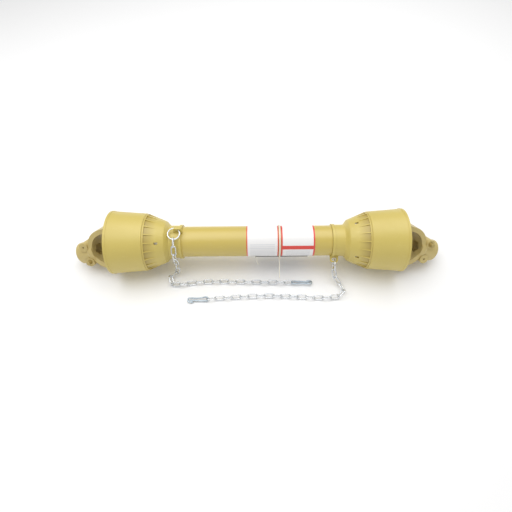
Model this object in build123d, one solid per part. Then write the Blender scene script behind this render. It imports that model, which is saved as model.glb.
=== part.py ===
from build123d import *
import math
import os

os.makedirs("parts", exist_ok=True)

# Places along the shaft, measured outwards from the middle of the closed drive shaft
JOINT_AT = 360.0
MOUTH_AT = 390.0
BELL_BASE_AT = 295.0
CONE_TIP_AT = 246.0
SHOULDER_AT = 236.0
COLLAR_END_AT = 200.0

# Plastic guard
RIM_BAND_WIDTH = 6.0
RIM_BAND_RISE = 0.9
BELL_FLARE_AT = 372.0
BELL_BASE_R = 77.6
BELL_FLARE = 5.7
RIM_RISE = 2.2
BELL_WALL = 3.0
BELL_EDGE_ROUND = 1.2
SPIGOT_LENGTH = 12.0
CONE_STEP = 2.0
CONE_TIP_R = 56.8
CONE_WALL = 4.5
CONE_RING_WIDTH = 4.5
RIB_COUNT = 20
RIB_WIDTH = 2.6
POCKET_DEPTH = 2.8
POCKET_LENGTH = 29.0
FLANGE_WIDTH = 7.0
FLANGE_RISE = 2.2
FIRST_COLLAR_WALL = 3.0
SECOND_COLLAR_WALL = 5.0
COLLAR_STOP = 3.0

# Round guard tubes, the first sliding over the second
OUTER_GUARD_OD = 82.0
INNER_GUARD_OD = 75.5
GUARD_TUBE_WALL = 2.5
GUARD_TUBE_STOP_GAP = 0.5
INNER_GUARD_OVERLAP = 350.0
TUBE_FIT = 0.05

# Eyelet on each collar that holds the chain's ring
LUG_RISE = 9.0
LUG_THICKNESS = 4.5
LUG_WIDTH = 21.0
LUG_AT = 208.0
LUG_SLOT_LENGTH = 14.0
LUG_SLOT_HEIGHT = 9.0
LUG_RIM = 3.2
LUG_EDGE = 0.8
LUG_ANGLE = {"a": -2.0, "b": 117.0}

# Nylon ring that lets the guard stand still while the shaft turns
RUNNING_GAP = 0.3
GROOVE_AT = 261.0
GROOVE_WIDTH = 14.0
GROOVE_DEPTH = 3.0
BEARING_RING_WALL = 7.5
BEARING_RING_SPLIT = 4.0
TAB_COUNT = 4
TAB_LENGTH = 8.4
TAB_WIDTH = 4.8
TAB_SUNK = 2.4
TAB_GAP = 0.3
TAB_OFFSET = 51.0

# Three-cornered telescoping steel tubes
PROFILE_CORNER_AT = 21.5
PROFILE_CORNER_R = 10.0
PROFILE_WALL = 4.0
PROFILE_GAP = 0.4
PROFILE_FIRST_CORNER = -90.0
OUTER_PROFILE_END = 130.0
INNER_PROFILE_END = 230.0
SOCKET_DEPTH = 40.0
SOCKET_FIT = 0.02
YOKE_PIN_R = 5.0
YOKE_PIN_WALL = 1.5
YOKE_PIN_FROM_SOCKET = 12.0

# Universal joint: four cups of this size and length on one cross
CUP_R = 17.5
CROSS_SPAN = 106.5
CUP_LENGTH = 22.5
CUP_END_WALL = 4.0
CUP_FIT = 0.02
TRUNNION_R = 12.0
TRUNNION_FIT = 0.05
TRUNNION_END_GAP = 0.3
CROSS_ARM_R = 16.2
CROSS_SHOULDER_GAP = 0.6
CROSS_CORE_R = 21.0
CIRCLIP_THICKNESS = 1.5
CIRCLIP_DEPTH = 1.6
CIRCLIP_WIDTH = 3.4
CIRCLIP_OPENING = 70.0
NIPPLE_R = 3.4
NIPPLE_LENGTH = 13.0
NIPPLE_SEAT = 21.2

# Forged yokes
EAR_R = 26.0
EAR_OUT = 57.0
EAR_IN = 36.0
EAR_PAD_R = 23.5
ARM_WALL = 13.0
INNER_FORK_DEPTH = 62.0
OUTER_FORK_DEPTH = 86.0
FORK_HALF_WIDTH = 28.0
EAR_SWING_GAP = 1.5
FORK_EDGE = 2.5
HUB_R = 30.0
HUB_END = 144.5
HUB_EDGE = 3.0
NECK_R = 39.0
NECK_END = 114.0
NECK_EDGE = 2.0

# Six-spline bore of the outer yokes, for a 1 3/8 inch power take-off shaft
SPLINE_COUNT = 6
SPLINE_MINOR_R = 14.85
SPLINE_MAJOR_R = 17.5
SPLINE_WIDTH = 8.7
SPLINE_LEAD = 2.0

# Quick-release pins: two in each outer yoke, pushed in from opposite sides
PIN_R = 7.0
PIN_FIT = 0.06
PIN_BORE_GAP = 0.25
PIN_AT = 108.0
PIN_TRAVEL = 10.0
BARREL_R = 12.5
BARREL_HALF = 31.0
BARREL_END_WALL = 3.5
BARREL_VENT_R = 2.6
BUTTON_R = 5.6
BUTTON_OUT = 11.0
BUTTON_ROUND = 1.6
PIN_LAND = 12.0
PIN_WAIST_R = 3.9
PIN_WAIST_LENGTH = 18.5
PIN_POCKET_R = 4.3
PIN_POCKET_DEPTH = 8.0
PIN_RING_R = 8.5
PIN_RING_THICKNESS = 2.8
PIN_RING_GAP = 0.2
SPRING_WIRE_R = 0.6
SPRING_TURNS = 6
SPRING_GAP = 0.3

# How the shaft lies: the joints hang down until the hubs touch the ground
EAR_ROLL = 38.0
GROUND_GAP = 0.3

# Safety chains
LINK_WIRE = 3.4
LINK_WIDTH = 15.0
LINK_PITCH = 22.9
LINK_GAP = 0.6
LINK_LEAN = 45.0
RING_OD = 35.0
RING_WIRE = 3.8
RING_GAP = 0.8
FLAT_RING_SHIFT = 9.2
FLAT_RING_SLOPE = 13.0
HANGING_RING_SHIFT = 1.0
HANGING_RING_SLOPE = 22.0
CHAIN_DRAPE_R = 57.0
CHAIN_REST_GAP = 0.3
CHAIN_BEND_RISE = 3.4
CHAIN_TOUCH_RISE = {"a": 8.0, "b": 12.0}
HANGING_LINK_LEAN = 0.45
HOOK_WIRE = 4.4
HOOK_LENGTH = 60.0
HOOK_WIDTH = 17.0
HOOK_WAIST = 11.5
HOOK_EYE_WIDTH = 16.0
HOOK_TILT = 18.0

# Bare bands and ties round the guard tube
LABEL_THICKNESS = 0.3
LABEL_ARC = 320.0
LABEL_GAP = 0.04
LABEL_MIDDLE = 33.0
LEFT_LABEL = (-28.0, 57.0)
RIGHT_LABEL = (63.5, 153.0)
TIE_AT = 60.2
TIE_WIDTH = 4.0
TIE_THICKNESS = 1.2
TIE_HEAD = 6.0
TIE_TAIL_LENGTH = 58.0
TIE_TAIL_WIDTH = 2.2
SLEEVE_START = -5.0
SLEEVE_LENGTH = 142.0
SLEEVE_THICKNESS = 1.6
SLEEVE_ARC = 62.0
SLEEVE_ANGLE = 122.0

# Radii and places that follow from the sizes above
BELL_FLARE_R = BELL_BASE_R + BELL_FLARE
RIM_R = BELL_FLARE_R + RIM_RISE
CONE_BASE_R = BELL_BASE_R - CONE_STEP
AXIS_Z = RIM_R
SLIDE_RANGE = 250.0
OUTER_GUARD_R = OUTER_GUARD_OD / 2
INNER_GUARD_R = INNER_GUARD_OD / 2
NECK_GROOVE_R = NECK_R - GROOVE_DEPTH
PIN_OFF = SPLINE_MINOR_R + PIN_BORE_GAP + PIN_R
CUP_END = CROSS_SPAN / 2
LINK_R = LINK_WIRE / 2
RING_R = (RING_OD - RING_WIRE) / 2
LINK_LINE = LINK_PITCH + LINK_WIRE
LINK_BOW_R = (LINK_WIDTH - LINK_WIRE) / 2
LINK_STRAIGHT = LINK_LINE - 2 * LINK_BOW_R
LINK_REACH = 2 * LINK_BOW_R - LINK_WIRE - LINK_GAP
CHAIN_STEP = LINK_STRAIGHT + LINK_REACH
CHAIN_Z = (LINK_WIDTH / 2 - LINK_R) * math.sin(math.radians(LINK_LEAN)) + LINK_R + CHAIN_REST_GAP
RING_REACH = RING_R + LINK_BOW_R - RING_WIRE / 2 - LINK_R - RING_GAP
HOOK_EYE_R = (HOOK_EYE_WIDTH - HOOK_WIRE) / 2
HOOK_REACH = LINK_BOW_R + HOOK_EYE_R - LINK_R - HOOK_WIRE / 2 - RING_GAP
GUARD_TUBE_R = {"a": OUTER_GUARD_R, "b": INNER_GUARD_R}
COLLAR_R = {
    "a": OUTER_GUARD_R + TUBE_FIT + FIRST_COLLAR_WALL,
    "b": INNER_GUARD_R + TUBE_FIT + SECOND_COLLAR_WALL,
}

# Each half is modelled pointing to +X; half a is then turned round to face -X
PLACE = {
    "a": Location((0, 0, AXIS_Z), (0, 0, 180)),
    "b": Location((0, 0, AXIS_Z)),
}
TURN = {"a": -1.0, "b": 1.0}


def turned(outline):
    """A solid turned about the X axis from points (x, radius)."""
    face = make_face(Polyline(*outline, close=True))
    return revolve(face, Axis.X, 360)


def band(start, end, inner_r, outer_r):
    return turned([(start, inner_r), (start, outer_r), (end, outer_r), (end, inner_r)])


def around(angle):
    """Direction square to the shaft: 0 is up, 90 is towards the viewer."""
    a = math.radians(angle)
    return Vector(0, -math.sin(a), math.cos(a))


def turned_to(shape, angle):
    """Turns a feature made at the top of the shaft to an angle round it."""
    return Rotation(angle, 0, 0) * shape


def wire_form(points, radius, sides, side, closed=False):
    """A bent wire with a flat-sided section, mitred at each point of its line."""
    line = [Vector(*p) for p in points]
    count = len(line)
    runs = count if closed else count - 1
    directions = [(line[(i + 1) % count] - line[i]).normalized() for i in range(runs)]
    across = directions[0].cross(side).normalized()
    corners = []
    for k in range(sides):
        a = math.radians(360 * (k + 0.5) / sides)
        corners.append(line[0] + side.normalized() * (radius * math.cos(a)) + across * (radius * math.sin(a)))

    def carried(ring, direction, centre, normal):
        moved = []
        for corner in ring:
            distance = (centre - corner).dot(normal) / direction.dot(normal)
            moved.append(corner + direction * distance)
        return moved

    if closed:
        corners = carried(corners, directions[0], line[0], directions[-1] + directions[0])
    rings = [corners]
    for i in range(runs):
        follows = directions[(i + 1) % runs] if closed or i + 1 < runs else directions[i]
        rings.append(carried(rings[-1], directions[i], line[(i + 1) % count], directions[i] + follows))
    faces = []
    for start, end in zip(rings[:-1], rings[1:]):
        for k in range(sides):
            n = (k + 1) % sides
            faces.append(Face(Wire.make_polygon([start[k], start[n], end[n], end[k]], close=True)))
    if not closed:
        faces.append(Face(Wire.make_polygon(rings[0], close=True)))
        faces.append(Face(Wire.make_polygon(rings[-1], close=True)))
    return Solid(Shell(faces))


# Bell: a flared plastic skirt pushed over the cone's spigot
def bell():
    band_start = MOUTH_AT - RIM_BAND_WIDTH
    mouth_r = RIM_R - RIM_BAND_RISE
    outline = [
        (BELL_BASE_AT, BELL_BASE_R - BELL_WALL),
        (BELL_BASE_AT, BELL_BASE_R - BELL_EDGE_ROUND),
        (BELL_BASE_AT + BELL_EDGE_ROUND, BELL_BASE_R),
        (BELL_FLARE_AT, BELL_FLARE_R),
        (band_start, mouth_r),
        (band_start, RIM_R),
        (MOUTH_AT, RIM_R),
        (MOUTH_AT, mouth_r - BELL_WALL),
        (band_start, mouth_r - BELL_WALL),
        (BELL_FLARE_AT, BELL_FLARE_R - BELL_WALL),
    ]
    return turned(outline)


# Ribbed cone with its collar, eyelet, rib pockets and the windows that hold the bearing ring
def cone_radius(at):
    ring_start = BELL_BASE_AT - CONE_RING_WIDTH
    share = (at - CONE_TIP_AT) / (ring_start - CONE_TIP_AT)
    return CONE_TIP_R + share * (CONE_BASE_R - CONE_TIP_R)


def rib_pocket():
    start = BELL_BASE_AT - CONE_RING_WIDTH - POCKET_LENGTH
    end = BELL_BASE_AT - CONE_RING_WIDTH
    outline = [
        (start, cone_radius(start)),
        (end, cone_radius(end) - POCKET_DEPTH),
        (end, cone_radius(end) + POCKET_DEPTH),
    ]
    rib_angle = math.degrees(RIB_WIDTH / CONE_BASE_R)
    sweep_angle = 360 / RIB_COUNT - rib_angle
    cutter = revolve(make_face(Polyline(*outline, close=True)), Axis.X, sweep_angle)
    return turned_to(cutter, rib_angle / 2)


def lug(half):
    collar_r = COLLAR_R[half]
    top = LUG_SLOT_HEIGHT / 2 + LUG_RIM
    plate = make_face(
        Polyline(
            (-LUG_WIDTH / 2 - LUG_EDGE, -LUG_RISE - FIRST_COLLAR_WALL / 2),
            (-LUG_WIDTH / 2, top - LUG_RIM),
            (-LUG_WIDTH / 2 + LUG_RIM, top),
            (LUG_WIDTH / 2 - LUG_RIM, top),
            (LUG_WIDTH / 2, top - LUG_RIM),
            (LUG_WIDTH / 2 + LUG_EDGE, -LUG_RISE - FIRST_COLLAR_WALL / 2),
            close=True,
        )
    )
    plate -= SlotOverall(LUG_SLOT_LENGTH, LUG_SLOT_HEIGHT)
    upright = Plane(origin=(LUG_AT, 0, collar_r + LUG_RISE), x_dir=(1, 0, 0), z_dir=(0, -1, 0))
    tab = extrude(upright * plate, LUG_THICKNESS / 2, both=True)
    return turned_to(tab, TURN[half] * LUG_ANGLE[half])


def tab_angles(half):
    first = TURN[half] * LUG_ANGLE[half] + TAB_OFFSET
    return [first + 360 / TAB_COUNT * k for k in range(TAB_COUNT)]


def cone(half):
    tube_r = GUARD_TUBE_R[half] + TUBE_FIT
    collar_r = COLLAR_R[half]
    bore_r = tube_r - COLLAR_STOP
    spigot_r = BELL_BASE_R - BELL_WALL - TUBE_FIT
    ring_start = BELL_BASE_AT - CONE_RING_WIDTH
    spigot_end = BELL_BASE_AT + SPIGOT_LENGTH
    stop_at = SHOULDER_AT - COLLAR_STOP
    outline = [
        (COLLAR_END_AT, tube_r),
        (COLLAR_END_AT, collar_r + FLANGE_RISE),
        (COLLAR_END_AT + FLANGE_WIDTH, collar_r + FLANGE_RISE),
        (COLLAR_END_AT + FLANGE_WIDTH, collar_r),
        (SHOULDER_AT - COLLAR_STOP, collar_r),
        (SHOULDER_AT, collar_r + COLLAR_STOP),
        (CONE_TIP_AT - COLLAR_STOP, CONE_TIP_R - COLLAR_STOP / 2),
        (CONE_TIP_AT, CONE_TIP_R),
        (ring_start, CONE_BASE_R),
        (BELL_BASE_AT, CONE_BASE_R),
        (BELL_BASE_AT, spigot_r),
        (spigot_end, spigot_r),
        (spigot_end, spigot_r - BELL_WALL),
        (BELL_BASE_AT, spigot_r - BELL_WALL),
        (ring_start, CONE_BASE_R - CONE_WALL),
        (CONE_TIP_AT, CONE_TIP_R - CONE_WALL),
        (SHOULDER_AT, bore_r),
        (stop_at, bore_r),
        (stop_at, tube_r),
    ]
    body = turned(outline)
    for k in range(RIB_COUNT):
        body -= turned_to(rib_pocket(), 360 / RIB_COUNT * k)
    opening = Box(TAB_LENGTH + 2 * TAB_GAP, TAB_WIDTH + 2 * TAB_GAP, CONE_TIP_R)
    window = Pos(GROOVE_AT, 0, cone_radius(GROOVE_AT)) * opening
    for angle in tab_angles(half):
        body -= turned_to(window, angle)
    return body + lug(half)


# Nylon bearing ring: split, in the neck's groove, with tabs in the cone's windows
def bearing_ring(half):
    half_width = GROOVE_WIDTH / 2 - RUNNING_GAP
    inner_r = NECK_GROOVE_R + RUNNING_GAP
    outer_r = inner_r + BEARING_RING_WALL
    ring = band(GROOVE_AT - half_width, GROOVE_AT + half_width, inner_r, outer_r)
    top = cone_radius(GROOVE_AT - TAB_LENGTH / 2) - TAB_SUNK
    foot = outer_r - BEARING_RING_WALL / 2
    tab = Pos(GROOVE_AT, 0, (top + foot) / 2) * Box(TAB_LENGTH, TAB_WIDTH, top - foot)
    for angle in tab_angles(half):
        ring += turned_to(tab, angle)
    split = Pos(GROOVE_AT, 0, outer_r) * Box(GROOVE_WIDTH, BEARING_RING_SPLIT, outer_r)
    return ring - turned_to(split, tab_angles(half)[0] + 180 / TAB_COUNT)


# Three-cornered tube section, grown or shrunk by an offset all round
def profile_section(grow):
    radius = PROFILE_CORNER_R + grow
    corners = [Vector(*(around(120 * k) * PROFILE_CORNER_AT)) for k in range(3)]
    section = None
    for k in range(3):
        here = corners[k]
        there = corners[(k + 1) % 3]
        outward = (here + there).normalized() * radius
        wedge = [(0, 0), (here.Y, here.Z), ((here + outward).Y, (here + outward).Z)]
        wedge += [((there + outward).Y, (there + outward).Z), (there.Y, there.Z)]
        piece = make_face(Polyline(*wedge, close=True)) + Pos(here.Y, here.Z) * Circle(radius)
        section = piece if section is None else section + piece
    return Plane.YZ * section


def profile_bar(grow, start, end):
    return extrude(Pos(start, 0, 0) * profile_section(grow), end - start)


def profile_tube(outer_grow, start, end):
    solid = profile_bar(outer_grow, start, end)
    return solid - profile_bar(outer_grow - PROFILE_WALL, start, end)


INNER_PROFILE_GROW = -PROFILE_WALL - PROFILE_GAP
PROFILE_GROW = {"a": 0.0, "b": INNER_PROFILE_GROW}
PROFILE_TURN = {half: PROFILE_FIRST_CORNER - TURN[half] * EAR_ROLL for half in "ab"}
SOCKET_START = NECK_END - SOCKET_DEPTH
YOKE_PIN_AT = SOCKET_START + YOKE_PIN_FROM_SOCKET


# Fork shared by all four yokes: its arms along Z, its stem along +X
def fork(depth):
    arc_r = EAR_OUT - ARM_WALL
    arc_at = depth - arc_r
    swing_r = INNER_FORK_DEPTH - EAR_SWING_GAP
    stadium = Circle(EAR_OUT)
    stadium = Pos(arc_at, 0) * stadium + Pos((arc_at - EAR_R) / 2, 0) * Rectangle(arc_at + EAR_R, 2 * EAR_OUT)
    hollow = Pos(arc_at, 0) * Circle(arc_r) + Pos((arc_at - depth) / 2, 0) * Rectangle(
        arc_at + depth, 2 * arc_r
    )
    side_view = (stadium - hollow) & (Circle(swing_r) + Pos(depth, 0) * Rectangle(2 * depth, 4 * EAR_OUT))
    plan_view = Circle(EAR_R) + make_face(
        Polyline(
            (0, -EAR_R),
            (depth / 2, -FORK_HALF_WIDTH),
            (depth + EAR_R, -FORK_HALF_WIDTH),
            (depth + EAR_R, FORK_HALF_WIDTH),
            (depth / 2, FORK_HALF_WIDTH),
            (0, EAR_R),
            close=True,
        )
    )
    arms = extrude(Plane.XZ * side_view, 2 * FORK_HALF_WIDTH, both=True)
    arms &= extrude(plan_view, 2 * EAR_OUT, both=True)
    pad_height = EAR_OUT - ARM_WALL - EAR_IN
    for end in (-1, 1):
        pad = Cylinder(EAR_PAD_R, pad_height + 1)
        arms += Pos(0, 0, end * (EAR_IN + (pad_height + 1) / 2)) * pad
    return arms


def ear_bores():
    bore = Cylinder(CUP_R, 3 * EAR_OUT)
    groove_at = CUP_END + CUP_FIT + CIRCLIP_THICKNESS / 2
    groove = Cylinder(CUP_R + CIRCLIP_DEPTH, CIRCLIP_THICKNESS + 2 * CUP_FIT)
    return bore + Pos(0, 0, groove_at) * groove + Pos(0, 0, -groove_at) * groove


def spline_bore():
    length = 2 * HUB_END
    minor = Circle(SPLINE_MINOR_R)
    for k in range(SPLINE_COUNT):
        tooth = Pos(SPLINE_MAJOR_R / 2, 0) * Rectangle(SPLINE_MAJOR_R, SPLINE_WIDTH)
        minor += Rot(0, 0, 360 / SPLINE_COUNT * k) * (tooth & Circle(SPLINE_MAJOR_R))
    return extrude(Plane.YZ * minor, length)


def lead_in():
    start = HUB_END - SPLINE_LEAD
    outline = [(start, 0), (start, SPLINE_MINOR_R), (HUB_END, SPLINE_MAJOR_R + SPLINE_LEAD), (HUB_END, 0)]
    return turned(outline)


def chamfered_stem(start, end, radius, edge):
    outline = [(start, 0), (start, radius), (end - edge, radius), (end, radius - edge), (end, 0)]
    return turned(outline)


def outer_yoke():
    start = OUTER_FORK_DEPTH
    flare_end = start + ARM_WALL
    hub = chamfered_stem(start, HUB_END, HUB_R, HUB_EDGE)
    flare = turned([(start, 0), (start, HUB_R + HUB_EDGE), (flare_end, HUB_R + HUB_EDGE),
                    (flare_end + 2 * HUB_EDGE, HUB_R), (flare_end + 2 * HUB_EDGE, 0)])
    body = fork(OUTER_FORK_DEPTH) + hub + flare
    for end in (-1, 1):
        barrel = Rot(90, 0, 0) * Cylinder(BARREL_R, 2 * BARREL_HALF)
        body += Pos(PIN_AT, 0, end * PIN_OFF) * barrel
    body -= ear_bores()
    body -= spline_bore()
    body -= lead_in()
    for end in (-1, 1):
        body -= pin_cavity(end)
    return body


# Pin line: positions run along the barrel, from the button's side at -BARREL_HALF
def on_pin_line(shape, end):
    """Puts a piece made along Y into the barrel; end -1 is the opposite pin."""
    placed = Pos(PIN_AT, 0, PIN_OFF) * shape
    return placed if end == 1 else Rotation(180, 0, 0) * placed


def rod_y(start, stop, radius):
    return Pos(0, (start + stop) / 2, 0) * (Rot(90, 0, 0) * Cylinder(radius, stop - start))


PIN_START = -BARREL_HALF + PIN_RING_THICKNESS + PIN_RING_GAP
CAVITY_END = BARREL_HALF - BARREL_END_WALL


def pin_cavity(end):
    hole = rod_y(-BARREL_HALF, CAVITY_END, PIN_R + PIN_FIT)
    hole += rod_y(-BARREL_HALF, -BARREL_HALF + PIN_RING_THICKNESS, PIN_RING_R)
    hole += rod_y(0, BARREL_HALF + 1, BARREL_VENT_R)
    return on_pin_line(hole, end)


def push_pin(end):
    land_start = PIN_LAND - PIN_TRAVEL - 1
    waist_start = land_start - PIN_WAIST_LENGTH
    pin = rod_y(PIN_START, PIN_LAND, PIN_R)
    waist = rod_y(waist_start, land_start, PIN_R + 1) - rod_y(waist_start, land_start, PIN_WAIST_R)
    pin -= waist
    pin -= rod_y(PIN_LAND - PIN_POCKET_DEPTH, PIN_LAND + 1, PIN_POCKET_R)
    button = rod_y(-BARREL_HALF - BUTTON_OUT, PIN_START, BUTTON_R)
    button = fillet(button.edges().group_by(Axis.Y)[0], BUTTON_ROUND)
    return on_pin_line(pin + button, end)


def pin_ring(end):
    ring = rod_y(-BARREL_HALF, -BARREL_HALF + PIN_RING_THICKNESS, PIN_RING_R - CUP_FIT)
    ring -= rod_y(-BARREL_HALF - 1, 0, BUTTON_R + PIN_FIT)
    return on_pin_line(ring, end)


def pin_spring(end):
    radius = PIN_POCKET_R - SPRING_WIRE_R - SPRING_GAP
    start = PIN_LAND - PIN_POCKET_DEPTH + SPRING_WIRE_R + SPRING_GAP / 2
    stop = CAVITY_END - SPRING_WIRE_R - SPRING_GAP / 2
    steps = 6
    points = []
    for k in range(SPRING_TURNS * steps + 1):
        a = math.radians(360 * k / steps)
        along = start + (stop - start) * k / (SPRING_TURNS * steps)
        points.append((radius * math.cos(a), along, radius * math.sin(a)))
    return on_pin_line(wire_form(points, SPRING_WIRE_R, 4, Vector(0, 1, 0)), end)


def inner_yoke(half):
    neck = chamfered_stem(INNER_FORK_DEPTH, NECK_END, NECK_R, NECK_EDGE)
    body = fork(INNER_FORK_DEPTH) + neck
    groove_from = JOINT_AT - GROOVE_AT - GROOVE_WIDTH / 2
    body -= band(groove_from, groove_from + GROOVE_WIDTH, NECK_GROOVE_R, NECK_R + 1)
    socket = profile_bar(PROFILE_GROW[half] + SOCKET_FIT, SOCKET_START, NECK_END + 1)
    body -= Rotation(PROFILE_TURN[half], 0, 0) * socket
    body -= ear_bores()
    body -= Pos(YOKE_PIN_AT, 0, 0) * Cylinder(YOKE_PIN_R, 3 * NECK_R)
    return body


# Rolled spring pin that locks the tube in the yoke's neck
def yoke_pin():
    length = 2 * (NECK_R - NECK_EDGE)
    pin = Cylinder(YOKE_PIN_R - SOCKET_FIT, length) - Cylinder(YOKE_PIN_R - YOKE_PIN_WALL, length)
    slit = Pos(YOKE_PIN_R, 0, 0) * Box(2 * YOKE_PIN_R, YOKE_PIN_WALL, length)
    return Pos(YOKE_PIN_AT, 0, 0) * (pin - slit)


def cross_arm():
    arm_length = CUP_END - CUP_END_WALL - TRUNNION_END_GAP
    shoulder = CUP_END - CUP_LENGTH - CROSS_SHOULDER_GAP
    return Cylinder(TRUNNION_R, 2 * arm_length) + Cylinder(CROSS_ARM_R, 2 * shoulder)


def cross():
    body = cross_arm() + Rot(90, 0, 0) * cross_arm() + Sphere(CROSS_CORE_R)
    body -= nipple_line(NIPPLE_R + 0.8, NIPPLE_SEAT, 2 * CROSS_CORE_R)
    return body - nipple_line(NIPPLE_R - 1, CROSS_CORE_R / 2, 2 * CROSS_CORE_R)


def nipple_line(radius, start, end):
    return Rot(45, 0, 0) * (Pos(0, 0, (start + end) / 2) * Cylinder(radius, end - start))


def grease_nipple():
    tip = NIPPLE_SEAT + NIPPLE_LENGTH
    body = nipple_line(NIPPLE_R - 1 - SOCKET_FIT, CROSS_CORE_R / 2 + 1, tip)
    hexagon = extrude(RegularPolygon(NIPPLE_R, 6), NIPPLE_LENGTH / 3)
    body += Rot(45, 0, 0) * (Pos(0, 0, NIPPLE_SEAT) * hexagon)
    return body + nipple_line(NIPPLE_R - 0.4, tip - NIPPLE_LENGTH / 4, tip)


def cup(end):
    shell = Cylinder(CUP_R - CUP_FIT, CUP_LENGTH)
    depth = CUP_LENGTH - CUP_END_WALL
    hollow = Pos(0, 0, (depth - CUP_LENGTH) / 2) * Cylinder(TRUNNION_R + TRUNNION_FIT, depth)
    piece = Pos(0, 0, CUP_END - CUP_LENGTH / 2) * (shell - hollow)
    return piece if end == 1 else Rotation(180, 0, 0) * piece


def circlip(end):
    outer_r = CUP_R + CIRCLIP_DEPTH - CUP_FIT
    ring = Circle(outer_r) - Circle(outer_r - CIRCLIP_WIDTH)
    half_open = math.radians(CIRCLIP_OPENING / 2)
    reach = 2 * outer_r
    wedge = Polyline(
        (0, 0),
        (reach * math.cos(half_open), -reach * math.sin(half_open)),
        (reach * math.cos(half_open), reach * math.sin(half_open)),
        close=True,
    )
    ring -= make_face(wedge)
    lug_at = outer_r - 1.3 * CIRCLIP_WIDTH
    for side in (-1, 1):
        a = side * (half_open + 0.06)
        ring += Pos(lug_at * math.cos(a), lug_at * math.sin(a)) * Circle(CIRCLIP_WIDTH * 0.8)
    clip = extrude(ring, CIRCLIP_THICKNESS)
    piece = Pos(0, 0, CUP_END + CUP_FIT) * clip
    return piece if end == 1 else Rotation(180, 0, 0) * piece


# Bends of the universal joint at rest: down by a droop, split over the cross's two axes
def joint_bends(droop, roll):
    down = math.sin(math.radians(droop))
    tilt = math.radians(roll)
    yoke_bend = math.asin(math.sin(tilt) * down)
    cross_bend = math.asin(math.cos(tilt) * down / math.cos(yoke_bend))
    return math.degrees(cross_bend), math.degrees(yoke_bend)


def joint_planes(droop, roll):
    """Planes of the inner yoke, cross and outer yoke, each with its stem on X and ears on Z."""
    cross_bend, yoke_bend = joint_bends(droop, roll)
    out = Vector(1, 0, 0)
    ear = Vector(0, math.sin(math.radians(roll)), math.cos(math.radians(roll)))
    fixed = Vector(0, math.cos(math.radians(roll)), -math.sin(math.radians(roll)))
    turn = Axis((0, 0, 0), tuple(fixed))
    middle = out.rotate(turn, cross_bend)
    ear_bent = ear.rotate(turn, cross_bend)
    stem = middle.rotate(Axis((0, 0, 0), tuple(ear_bent)), yoke_bend)
    centre = Vector(JOINT_AT, 0, 0)
    return {
        "inner": Plane(centre, x_dir=-out, z_dir=fixed),
        "cross": Plane(centre, x_dir=middle, z_dir=ear_bent),
        "outer": Plane(centre, x_dir=stem, z_dir=ear_bent),
    }


# Clearance of the drooping yoke above the ground, from the hub's end and the pin barrels
def lowest_of_yoke(droop, roll):
    plane = joint_planes(droop, roll)["outer"]
    down = Vector(0, 0, -1)
    along = down.dot(plane.x_dir)
    side = down.dot(plane.y_dir)
    up = down.dot(plane.z_dir)
    hub = max(
        HUB_END * along + (HUB_R - HUB_EDGE) * math.sqrt(1 - along * along),
        (HUB_END - HUB_EDGE) * along + HUB_R * math.sqrt(1 - along * along),
    )
    barrel = PIN_AT * along + PIN_OFF * abs(up) + BARREL_HALF * abs(side) + BARREL_R * math.sqrt(1 - side * side)
    button_side = -1 if up > 0 else 1
    reach = BARREL_HALF + BUTTON_OUT if side * button_side > 0 else BARREL_HALF
    button = PIN_AT * along + PIN_OFF * abs(up) + reach * abs(side) + BUTTON_R * math.sqrt(1 - side * side)
    return AXIS_Z - max(hub, barrel, button)


def droop_to_ground(roll):
    low, high = 0.0, 60.0
    for _ in range(40):
        middle = (low + high) / 2
        if lowest_of_yoke(middle, roll) > GROUND_GAP:
            low = middle
        else:
            high = middle
    return low


ROLL = {half: TURN[half] * EAR_ROLL for half in "ab"}
DROOP = {half: droop_to_ground(ROLL[half]) for half in "ab"}
PLANES = {half: joint_planes(DROOP[half], ROLL[half]) for half in "ab"}

# Everything is collected by node name before it is written
nodes = {}


def add(name, shape, place):
    nodes[name] = place * shape


def add_group(name, shapes, place):
    nodes[name] = Compound([place * shape for shape in shapes])


for half in "ab":
    here = PLACE[half]
    inner_place = here * PLANES[half]["inner"].location
    cross_place = here * PLANES[half]["cross"].location
    outer_place = here * PLANES[half]["outer"].location
    add("bell_" + half, bell(), here)
    add("ribbed_cone_" + half, cone(half), here)
    add("bearing_ring_" + half, bearing_ring(half), here)
    add("inner_yoke_" + half, inner_yoke(half), inner_place)
    add("yoke_pin_" + half, yoke_pin(), inner_place)
    add_group("inner_cups_" + half, [cup(1), cup(-1)], inner_place)
    add_group("inner_circlips_" + half, [circlip(1), circlip(-1)], inner_place)
    add("cross_" + half, cross(), cross_place)
    add("grease_nipple_" + half, grease_nipple(), cross_place)
    add("outer_yoke_" + half, outer_yoke(), outer_place)
    add_group("outer_cups_" + half, [cup(1), cup(-1)], outer_place)
    add_group("outer_circlips_" + half, [circlip(1), circlip(-1)], outer_place)
    add_group("pin_rings_" + half, [pin_ring(1), pin_ring(-1)], outer_place)
    for number, end in ((1, 1), (2, -1)):
        add(f"push_pin_{half}{number}", push_pin(end), outer_place)
        add(f"pin_spring_{half}{number}", pin_spring(end), outer_place)

# Guard tubes and profile tubes, in the shaft's own frame
SHAFT = Location((0, 0, AXIS_Z))
stop_at = SHOULDER_AT - COLLAR_STOP
outer_end = COLLAR_END_AT - GUARD_TUBE_STOP_GAP
inner_end = COLLAR_END_AT - INNER_GUARD_OVERLAP
add("guard_tube_outer", band(-stop_at, outer_end, OUTER_GUARD_R - GUARD_TUBE_WALL, OUTER_GUARD_R), SHAFT)
add("guard_tube_inner", band(inner_end, stop_at, INNER_GUARD_R - GUARD_TUBE_WALL, INNER_GUARD_R), SHAFT)

socket_floor = JOINT_AT - SOCKET_START


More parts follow.
